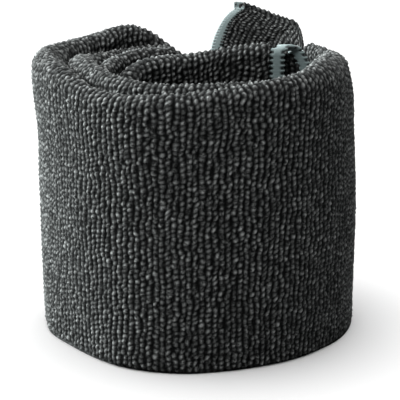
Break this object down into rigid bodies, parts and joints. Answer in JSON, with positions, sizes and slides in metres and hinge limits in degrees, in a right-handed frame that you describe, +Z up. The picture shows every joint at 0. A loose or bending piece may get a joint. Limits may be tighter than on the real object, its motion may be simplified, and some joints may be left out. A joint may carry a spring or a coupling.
{
  "type": "rolled terry sports towel",
  "caption": "Dark terry sweat towel with stitched edges, folded lengthwise and rolled into a standing cylinder with an open middle.",
  "frame": {"origin": "middle of the footprint, on the floor the roll stands on", "axes": "+Z up along the roll's axis, -Y towards the smooth front of the outer wrap, +X to the right as seen from the front"},
  "size_m": [0.0888, 0.084, 0.0835],
  "materials": {
    "terry": "looped pile, matt with a soft sheen",
    "overlock_thread": "close overlock stitching, satin"
  },
  "bodies": {
    "root": {"panel_outer": "terry", "panel_outer_lining": "terry", "panel_inner_lining": "terry", "panel_inner": "terry", "top_fold": "terry", "bottom_fold_outer": "terry", "bottom_fold_inner": "terry", "corner_flap": "terry", "overlock_outer_end": "overlock_thread", "overlock_inner_end": "overlock_thread", "overlock_inner_corner": "overlock_thread", "overlock_long_edge_a": "overlock_thread", "overlock_long_edge_b": "overlock_thread", "overlock_flap": "overlock_thread"}
  },
  "joints": []
}
